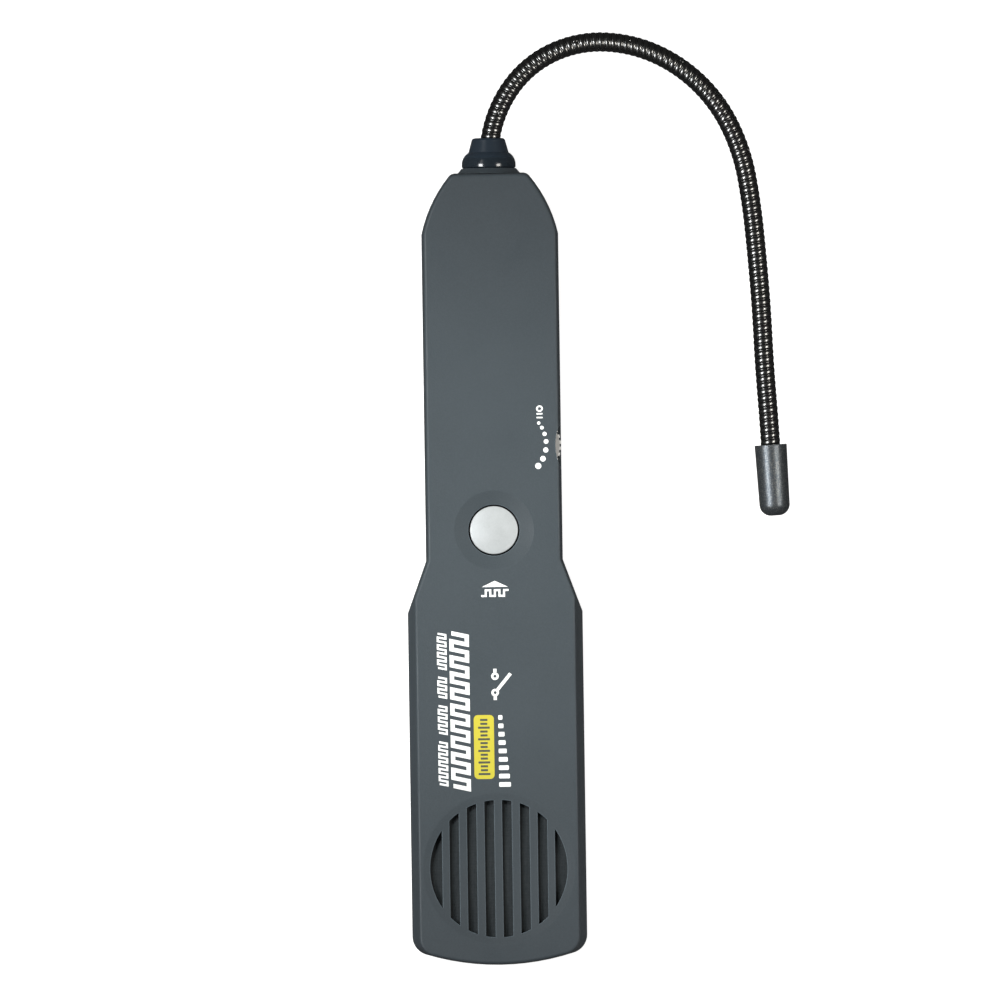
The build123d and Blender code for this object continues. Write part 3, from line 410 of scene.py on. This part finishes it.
def foam():
    """Open-cell foam, almost black, with deep pores that hold painted shade."""
    paint = Paint("foam")
    pores = paint.cells(0.9 * MM, feature="SMOOTH_F1")
    # Painted shade: darker towards the middle of each pore.
    paint.drive("Base Color", paint.mix(pores, (0.02, 0.02, 0.022), (0.075, 0.075, 0.08)))
    paint.drive("Roughness", paint.span(pores, 0.85, 0.97))
    return paint.finish(paint.bump(pores, 0.9, 0.4 * MM))


def speaker_paper():
    """Black pressed paper with matted fibres."""
    paint = Paint("speaker_paper")
    fibres = paint.noise(0.6 * MM, detail=5, roughness=0.7)
    paint.drive("Base Color", paint.mix(fibres, (0.02, 0.02, 0.021), (0.065, 0.063, 0.06)))
    paint.drive("Roughness", paint.span(fibres, 0.8, 0.95))
    return paint.finish(paint.bump(fibres, 0.5, 0.1 * MM))


slot_materials = {
    "shell_plastic": shell_plastic(),
    "silver_plastic": silver_plastic(),
    "wheel_plastic": wheel_plastic(),
    "gland_plastic": gland_plastic(),
    "probe_plastic": probe_plastic(),
    "arm_steel": arm_steel(),
    "cloth_black": cloth_black(),
    "board_laminate": board_laminate(),
    "foam": foam(),
    "speaker_paper": speaker_paper(),
    "battery_jacket": speckled("battery_jacket", (0.05, 0.05, 0.055), 2 * MM, 0.25, 0.38, 0.3),
    "black_insulation": speckled("black_insulation", (0.015, 0.015, 0.016), 1 * MM, 0.2, 0.42),
    "red_insulation": speckled("red_insulation", (0.5, 0.018, 0.018), 1 * MM, 0.12, 0.42),
    "grey_insulation": speckled("grey_insulation", (0.2, 0.2, 0.21), 1 * MM, 0.12, 0.45),
    "black_plastic": speckled("black_plastic", (0.02, 0.02, 0.022), 0.8 * MM, 0.25, 0.5),
    "capacitor_sleeve": speckled("capacitor_sleeve", (0.02, 0.03, 0.1), 1.5 * MM, 0.15, 0.32),
    "ferrite": speckled("ferrite", (0.05, 0.05, 0.055), 0.4 * MM, 0.3, 0.7, strength=0.5),
    "resistor_lacquer": speckled("resistor_lacquer", (0.6, 0.47, 0.28), 0.8 * MM, 0.12, 0.35),
    "brass_metal": brushed("brass_metal", (0.72, 0.56, 0.27), 0.3),
    "screw_steel": brushed("screw_steel", (0.45, 0.45, 0.46), 0.32),
    "tinned_metal": brushed("tinned_metal", (0.62, 0.62, 0.6), 0.35),
    "copper_winding": wound("copper_winding", (0.55, 0.24, 0.1), 0.12 * MM),
}

for part in frame["record"]["subparts"]:
    data = nodes[part["node"]].data
    data.materials.clear()
    data.materials.append(slot_materials[part["material_slot"]])


# ---------------------------------------------------------------- printed marks on the front

ink_thickness = 0.03 * MM
ink_depth = 0.02 * MM
letter_white = (0.72, 0.74, 0.76)
label_yellow = (0.435, 0.385, 0.036)
label_dark = (0.055, 0.062, 0.05)


def ink(name, color):
    """Screen-printed ink: an even coat with a faint mesh pattern and thin spots."""
    paint = Paint(name)
    thin = paint.span(paint.noise(0.7 * MM, detail=4), 0, 0.5, 0.55, 0.9)
    paint.drive("Base Color", paint.mix(thin, color, shade(color, 0.8)))
    paint.drive("Roughness", paint.patchy(1 * MM, 0.38, 0.52))
    mesh = paint.math("MULTIPLY", paint.waves(0.25 * MM, "X"), paint.waves(0.25 * MM, "Y"))
    return paint.finish(paint.bump(mesh, 0.15, 0.01 * MM))


white_ink = ink("white_ink", letter_white)
yellow_ink = ink("yellow_ink", label_yellow)
dark_ink = ink("dark_ink", label_dark)


def prisms(name, outlines, low, high, material, body="casing"):
    """One piece made of flat closed prisms, each from an outline of (x, y) points in metres."""
    mesh = bmesh.new()
    for outline in outlines:
        floor = [mesh.verts.new((x, y, low)) for x, y in outline]
        roof = [mesh.verts.new((x, y, high)) for x, y in outline]
        mesh.faces.new(roof)
        mesh.faces.new(floor[::-1])
        for index in range(len(outline)):
            after = (index + 1) % len(outline)
            mesh.faces.new((floor[index], floor[after], roof[after], roof[index]))
    bmesh.ops.recalc_face_normals(mesh, faces=mesh.faces)
    data = bpy.data.meshes.new(name)
    mesh.to_mesh(data)
    mesh.free()
    data.materials.append(material)
    piece = bpy.data.objects.new(name, data)
    scene.collection.objects.link(piece)
    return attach(piece, body)


def ring(x, y, outer_x, outer_y, inner_x, inner_y, steps=40):
    """A ring as a chain of four-sided outlines that meet edge to edge."""
    outlines = []
    for index in range(steps):
        turns = [2 * math.pi * (index + step) / steps for step in (0, 1)]
        outer = [(x + outer_x * math.cos(t), y + outer_y * math.sin(t)) for t in turns]
        inner = [(x + inner_x * math.cos(t), y + inner_y * math.sin(t)) for t in turns]
        outlines.append([inner[0], outer[0], outer[1], inner[1]])
    return outlines


def disc(x, y, radius, steps=32):
    angles = [2 * math.pi * index / steps for index in range(steps)]
    return [(x + radius * math.cos(t), y + radius * math.sin(t)) for t in angles]


def rounded_box(low_x, low_y, high_x, high_y, radius, steps=6):
    """The outline of a rectangle with round corners."""
    corners = [
        (high_x - radius, high_y - radius, 0),
        (low_x + radius, high_y - radius, 1),
        (low_x + radius, low_y + radius, 2),
        (high_x - radius, low_y + radius, 3),
    ]
    points = []
    for x, y, quarter in corners:
        for index in range(steps + 1):
            turn = math.pi / 2 * (quarter + index / steps)
            points.append((x + radius * math.cos(turn), y + radius * math.sin(turn)))
    return points


def stroke(points, width):
    """A line of one width along points, as four-sided outlines that share their mitred corners."""
    line = [Vector(point) for point in points]
    ahead = [(b - a).normalized() for a, b in zip(line, line[1:])]
    rims = []
    for index, point in enumerate(line):
        before = ahead[max(index - 1, 0)]
        after = ahead[min(index, len(ahead) - 1)]
        along = (before + after).normalized()
        side = Vector((-along.y, along.x))
        reach = width / 2 / max(side.dot(Vector((-before.y, before.x))), 0.5)
        rims.append((tuple(point + side * reach), tuple(point - side * reach)))
    return [[a[1], b[1], b[0], a[0]] for a, b in zip(rims, rims[1:])]


def meander(low_x, high_x, start_y, pitch, count, width, lean):
    """A leaning band of square waves that runs down the casing from start_y."""
    points = []
    for index in range(count):
        top = start_y - index * pitch
        points += [(low_x, top), (high_x, top), (high_x, top - pitch / 2), (low_x, top - pitch / 2)]
    outlines = []
    for outline in stroke(points, width):
        outlines.append([(x, y - lean * (x - low_x) / (high_x - low_x)) for x, y in outline])
    return outlines


ink_low = front_z - ink_depth
ink_high = front_z + ink_thickness


def dial_marks():
    """Seven growing dots beside the volume wheel, then a nought and two rungs where it is off."""
    dial_x = 5.2 * MM
    dial_y = wheel_y + 0.4 * MM
    dial_radius = 8.85 * MM
    dot_angles = (38.2, 28.6, 17.1, 4.0, -10.6, -26.3, -41.0)
    smallest_dot = 0.43 * MM
    dot_growth = 0.062 * MM
    outlines = []
    for index, degrees in enumerate(dot_angles):
        turn = math.radians(degrees)
        x = dial_x + dial_radius * math.cos(turn)
        y = dial_y + dial_radius * math.sin(turn)
        outlines.append(disc(x, y, smallest_dot + dot_growth * index))
    nought_x = 12.4 * MM
    nought_y = wheel_y + 9.65 * MM
    outlines += ring(nought_x, nought_y, 0.9 * MM, 0.84 * MM, 0.45 * MM, 0.42 * MM)
    rung_half_length = 0.8 * MM
    rung_half_width = 0.2 * MM
    left, right = nought_x - rung_half_length, nought_x + rung_half_length
    for drop in (1.35 * MM, 2.35 * MM):
        y = nought_y - drop
        outlines.append(rounded_box(left, y - rung_half_width, right, y + rung_half_width, 0.1 * MM, 2))
    prisms("dial_marks", outlines, ink_low, ink_high, white_ink)


def button_marks():
    """A low arrowhead that points at the button, over a short pulse."""
    tip_y = button_y - 13.3 * MM
    base_y = tip_y - 1.6 * MM
    half = 3.45 * MM
    arrow = [(-half, base_y), (half, base_y), (0, tip_y)]
    pulse_y = base_y - 2.35 * MM
    pulse_rise = 1.5 * MM
    pulse_step = 1.2 * MM
    pulse_width = 0.52 * MM
    points = []
    for index in range(-3, 3):
        level = pulse_y + pulse_rise * (index % 2 == 0)
        points += [(index * pulse_step, level), ((index + 1) * pulse_step, level)]
    marks = [arrow] + stroke(points, pulse_width)
    prisms("button_marks", marks, ink_low, ink_high, white_ink)


def title_marks():
    """A bold band of square waves and a fine one beside it, where such a tool carries its title."""
    bold_width = 1.12 * MM
    bold_pitch = 4.22 * MM
    bold_waves = 10
    bold_left = -12.15 * MM + bold_width / 2
    bold_right = -7.0 * MM - bold_width / 2
    bold_lean = 0.9 * MM
    outlines = meander(bold_left, bold_right, -16.7 * MM, bold_pitch, bold_waves, bold_width, bold_lean)
    fine_width = 0.52 * MM
    fine_pitch = 2.0 * MM
    fine_left = -15.2 * MM
    fine_right = -13.15 * MM
    fine_lean = 0.4 * MM
    gap_in_waves = 0.75
    top = -16.75 * MM
    for count in (5, 3, 4, 6):
        outlines += meander(fine_left, fine_right, top, fine_pitch, count, fine_width, fine_lean)
        top -= (count + gap_in_waves) * fine_pitch
    prisms("title_marks", outlines, ink_low, ink_high, white_ink)


def breaker_sign():
    """The plain sign of an open switch: two leads with contacts, and a lever that leans away."""
    x = -0.3 * MM
    low_y = -34.4 * MM
    high_y = -26.2 * MM
    width = 0.85 * MM
    contact = 1.0 * MM
    lead = 1.1 * MM
    outlines = []
    for end_y, way in ((low_y, 1), (high_y, -1)):
        outlines += stroke([(x, end_y), (x, end_y + way * lead)], width)
        outlines += ring(x, end_y + way * (lead + contact * 0.85), contact, contact, 0.4 * MM, 0.4 * MM)
    foot = (x + 0.55 * MM, low_y + lead + 1.5 * MM)
    outlines += stroke([foot, (x + 4.1 * MM, high_y - lead - 0.2 * MM)], width)
    prisms("breaker_sign", outlines, ink_low, ink_high, white_ink)


def level_bars():
    """A row of bars that grow, for the strength of the tone."""
    left = 0.4 * MM
    first_top = -38.4 * MM
    bar_pitch = 2.2 * MM
    bar_width = 1.2 * MM
    shortest = 1.1 * MM
    growth = 0.25 * MM
    outlines = []
    for index in range(9):
        top = first_top - index * bar_pitch
        right = left + shortest + growth * index
        outlines.append(rounded_box(left, top - bar_width, right, top, 0.25 * MM, 3))
    prisms("level_bars", outlines, ink_low, ink_high, white_ink)


def yellow_label():
    """A yellow panel with a tone drawn on it in dark bars."""
    low_x, high_x = -6.05 * MM, -0.75 * MM
    low_y, high_y = -55.1 * MM, -38.3 * MM
    panel = rounded_box(low_x, low_y, high_x, high_y, 1.1 * MM, 8)
    prisms("yellow_label", [panel], ink_low, ink_high, yellow_ink)
    middle = (low_x + high_x) / 2
    bar_half_width = 0.28 * MM
    bar_pitch = 1.015 * MM
    first_bar_y = low_y + 1.3 * MM
    shortest = 0.75 * MM
    swing_reach = 0.8 * MM
    swing_step = 2.1
    bars = []
    for index in range(15):
        swing = 0.5 + 0.5 * math.cos(index * swing_step)
        reach = shortest + swing_reach * swing
        y = first_bar_y + index * bar_pitch
        bars.append(
            rounded_box(middle - reach, y - bar_half_width, middle + reach, y + bar_half_width, 0.1 * MM, 2)
        )
    prisms("label_bars", bars, ink_high - 0.01 * MM, ink_high + 0.015 * MM, dark_ink)


dial_marks()
button_marks()
title_marks()
breaker_sign()
level_bars()
yellow_label()


# ---------------------------------------------------------------- gooseneck

arm_radius = 2.6 * MM
arm_step = 14.15 * MM
arm_turns = [25.5, 29, 27.5, 22.5, 20.5, 20, 15.5, 4.5, 1, 2, -2, 1]
arm_start_heading = 10.0
arm_root_radius = 39.5 * MM
arm_root = Vector((0, 106.75 * MM, arm_z))
coil_pitch = 1.67 * MM
wire_half_width = 0.66 * MM
wire_half_height = 0.23 * MM
filler_half_width = 0.21 * MM
filler_half_height = 0.16 * MM
filler_drop = 0.08 * MM
sleeve_radius = 2.2 * MM
turn_steps = 36
wire_sides = 14
filler_sides = 8


def heading_vector(degrees):
    """The direction of a clockwise heading counted from +Y."""
    turn = math.radians(degrees)
    return Vector((math.sin(turn), math.cos(turn), 0))


class ArmLine:
    """The gooseneck's middle line as a chain of arcs, from inside the gland to inside the cap."""

    def __init__(self):
        lead_in = 4.0 * MM
        lead_out = 5.5 * MM
        root_length = arm_root_radius * math.radians(arm_start_heading)
        lengths = [lead_in, root_length] + [arm_step] * len(arm_turns) + [lead_out]
        turns = [0, arm_start_heading] + arm_turns + [0]
        point = arm_root - Vector((0, lead_in, 0))
        heading = 0.0
        travelled = 0.0
        self.spans = []
        for length, turn in zip(lengths, turns):
            self.spans.append((travelled, length, point.copy(), heading, turn))
            point = self.after(point, heading, turn, length)
            heading += turn
            travelled += length
        self.length = travelled

    @staticmethod
    def after(point, heading, turn, length):
        chord = length
        if turn:
            chord = 2 * length / math.radians(turn) * math.sin(math.radians(turn) / 2)
        return point + heading_vector(heading + turn / 2) * chord

    def at(self, distance):
        """The point and the heading at a distance along the arm."""
        for start, length, point, heading, turn in self.spans:
            if distance <= start + length or start == self.spans[-1][0]:
                share = (distance - start) / length
                place = self.after(point, heading, turn * share, distance - start)
                return place, heading + turn * share

    def joint(self, index):
        """How far along the arm the joint after a stretch lies, counting stretches from 1."""
        return self.spans[index + 1][0] + arm_step


arm = ArmLine()


def tube_mesh(mesh, rings):
    """Joins rings of points into a smooth tube with closed ends."""
    before = None
    for ring_points in rings:
        loop = [mesh.verts.new(point) for point in ring_points]
        if before is None:
            mesh.faces.new(loop)
        else:
            for side in range(len(loop)):
                after = (side + 1) % len(loop)
                face = mesh.faces.new((before[side], before[after], loop[after], loop[side]))
                face.smooth = True
        before = loop
    mesh.faces.new(before[::-1])


def wire_rings(start, end, half_width, half_height, drop, lag, sides):
    """The rings of one flattened wire wound round the arm from start to end."""
    steps = max(2, round((end - start) / coil_pitch * turn_steps))
    middle = arm_radius - drop - half_height
    for index in range(steps + 1):
        distance = start + (end - start) * index / steps
        centre, heading = arm.at(distance)
        along = heading_vector(heading)
        across = Vector((along.y, -along.x, 0))
        turn = 2 * math.pi * (distance / coil_pitch + lag)
        outward = across * math.cos(turn) - Vector((0, 0, 1)) * math.sin(turn)
        angles = [2 * math.pi * side / sides for side in range(sides)]
        yield [
            centre
            + outward * (middle + half_height * math.cos(angle))
            + along * half_width * math.sin(angle)
            for angle in angles
        ]


def sleeve_rings(start, end, steps=14, sides=20):
    """The rings of the plain sleeve under the wires."""
    for index in range(steps + 1):
        centre, heading = arm.at(start + (end - start) * index / steps)
        along = heading_vector(heading)
        across = Vector((along.y, -along.x, 0))
        angles = [2 * math.pi * side / sides for side in range(sides)]
        yield [
            centre + sleeve_radius * (across * math.cos(angle) + Vector((0, 0, 1)) * math.sin(angle))
            for angle in angles
        ]


def coil_piece(name, start, end):
    """A length of gooseneck: its main wire, the thinner wire in the groove, and the sleeve."""
    mesh = bmesh.new()
    tube_mesh(mesh, wire_rings(start, end, wire_half_width, wire_half_height, 0, 0.0, wire_sides))
    half_turn = 0.5
    filler = wire_rings(
        start, end, filler_half_width, filler_half_height, filler_drop, half_turn, filler_sides
    )
    tube_mesh(mesh, filler)
    tube_mesh(mesh, sleeve_rings(start, end))
    bmesh.ops.recalc_face_normals(mesh, faces=mesh.faces)
    data = bpy.data.meshes.new(name)
    mesh.to_mesh(data)
    mesh.free()
    data.materials.append(slot_materials["arm_steel"])
    piece = bpy.data.objects.new(name, data)
    scene.collection.objects.link(piece)
    return piece


def check_arm_joints():
    """The middle line has to pass through the frame's own arm joints."""
    closeness = 0.1 * MM
    for index in range(1, len(arm_turns)):
        way = "arm_bend_" if index % 2 else "arm_lift_"
        name = way + str(index).zfill(2)
        gap = arm.at(arm.joint(index))[0] - Vector(joints[name]["pos_m"])
        assert gap.length < closeness, name


def make_gooseneck():
    """The coil in lengths that change over at mid-stretch: each inner length spans one joint."""
    last = len(arm_turns)
    chain = ["casing"] + ["arm_link_" + str(index).zfill(2) for index in range(2, last + 1)]
    middles = [arm.joint(index) - arm_step / 2 for index in range(1, last + 1)]
    root = coil_piece("gooseneck_root", 0.0, middles[0])
    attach(root, "casing")
    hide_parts("arm_stretch_01")
    for index in range(1, last):
        length = coil_piece("gooseneck_" + str(index).zfill(2), middles[index - 1], middles[index])
        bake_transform(length)
        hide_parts("arm_stretch_" + str(index + 1).zfill(2))
    tip = coil_piece("gooseneck_tip", middles[-1], arm.length)
    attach(tip, chain[-1])


check_arm_joints()
make_gooseneck()


# ---------------------------------------------------------------- floor, light and camera


def stage_floor():
    """A pale, evenly lit table with a soft grain."""
    paint = Paint("pale_floor")
    tone = paint.patchy(50 * MM, 0, 1, detail=3)
    grey = (0.4, 0.4, 0.4)
    paint.drive("Base Color", paint.mix(tone, shade(grey, 0.975), shade(grey, 1.025)))
    paint.set(roughness=0.9, emission_color=(1, 1, 1, 1), emission_strength=0.87)
    material = paint.finish(paint.bump(paint.noise(0.8 * MM), 0.03, 0.1 * MM))
    mesh = bmesh.new()
    floor_radius = 6.0
    bmesh.ops.create_circle(mesh, cap_ends=True, segments=96, radius=floor_radius)
    data = bpy.data.meshes.new("floor")
    mesh.to_mesh(data)
    mesh.free()
    data.materials.append(material)
    floor = bpy.data.objects.new("floor", data)
    floor_gap = 0.05 * MM
    floor.location.z = -floor_gap
    floor.visible_glossy = False
    scene.collection.objects.link(floor)


light_distance = 0.9
light_aim = Vector((0, 15 * MM, front_z))
pool_aim = Vector((0, 4 * MM, front_z))


def softbox(name, degrees, radiance, width, height, color):
    """A soft box that leans over by an angle from straight above."""
    data = bpy.data.lights.new(name, "AREA")
    data.shape = "RECTANGLE"
    data.size = width
    data.size_y = height
    data.energy = radiance * math.pi * width * height
    data.color = color
    lamp = bpy.data.objects.new(name, data)
    lean = math.radians(degrees)
    way = Vector((math.sin(lean), 0, math.cos(lean)))
    lamp.location = light_aim + light_distance * way
    across = Vector((0, 1, 0)).cross(way).normalized()
    lamp.rotation_euler = Matrix((across, way.cross(across), way)).transposed().to_euler()
    lamp.visible_camera = False
    scene.collection.objects.link(lamp)


def pool_of_light():
    """A soft spot from the upper left that lights the middle of the casing most."""
    data = bpy.data.lights.new("pool", "SPOT")
    data.spot_size = math.radians(15.2)
    data.spot_blend = 1.0
    data.energy = 54.0
    data.color = (1.0, 0.985, 0.905)
    data.shadow_soft_size = 0.06
    lamp = bpy.data.objects.new("pool", data)
    way = Vector((-0.34, 0.48, 1.0)).normalized()
    lamp.location = pool_aim + light_distance * way
    lamp.rotation_euler = way.to_track_quat("Z", "Y").to_euler()
    lamp.visible_glossy = False
    scene.collection.objects.link(lamp)


def stage_world():
    """An even white room: bright for the camera and for soft light, dim in reflections."""
    world = bpy.data.worlds.new("studio")
    world.use_nodes = True
    tree = world.node_tree
    background = tree.nodes["Background"]
    path = tree.nodes.new("ShaderNodeLightPath")
    soft_strength = 0.16
    glossy_strength = 0.05
    camera_strength = 1.05
    dimmer = tree.nodes.new("ShaderNodeMapRange")
    dimmer.inputs["To Min"].default_value = soft_strength
    dimmer.inputs["To Max"].default_value = glossy_strength
    brighter = tree.nodes.new("ShaderNodeMapRange")
    brighter.inputs["To Max"].default_value = camera_strength
    tree.links.new(path.outputs["Is Glossy Ray"], dimmer.inputs["Value"])
    tree.links.new(path.outputs["Is Camera Ray"], brighter.inputs["Value"])
    tree.links.new(dimmer.outputs["Result"], brighter.inputs["To Min"])
    tree.links.new(brighter.outputs["Result"], background.inputs["Strength"])
    background.inputs["Color"].default_value = (1, 1, 1, 1)
    scene.world = world


def stage_camera():
    """Straight above the front face, with a long lens."""
    data = bpy.data.cameras.new("camera")
    camera = bpy.data.objects.new("camera", data)
    aim = Vector((1.7 * MM, 18.1 * MM, front_z))
    distance = 4.0
    picture_width = 262.6 * MM
    roll = -0.83
    data.lens = data.sensor_width * distance / picture_width
    camera.location = aim + Vector((0, 0, distance))
    camera.rotation_euler = (0, 0, math.radians(roll))
    scene.collection.objects.link(camera)
    scene.camera = camera


stage_floor()
cool_white = (0.97, 0.985, 1.0)
warm_white = (1.0, 0.965, 0.91)
plain_white = (1.0, 1.0, 1.0)
softbox("softbox_left", -35, 18.0, 0.26, 0.34, cool_white)
softbox("softbox_right", 43, 10.0, 0.26, 0.34, warm_white)
softbox("long_strip", -33, 1.0, 0.16, 1.5, plain_white)
pool_of_light()
stage_world()
stage_camera()
scene.view_settings.view_transform = "Standard"
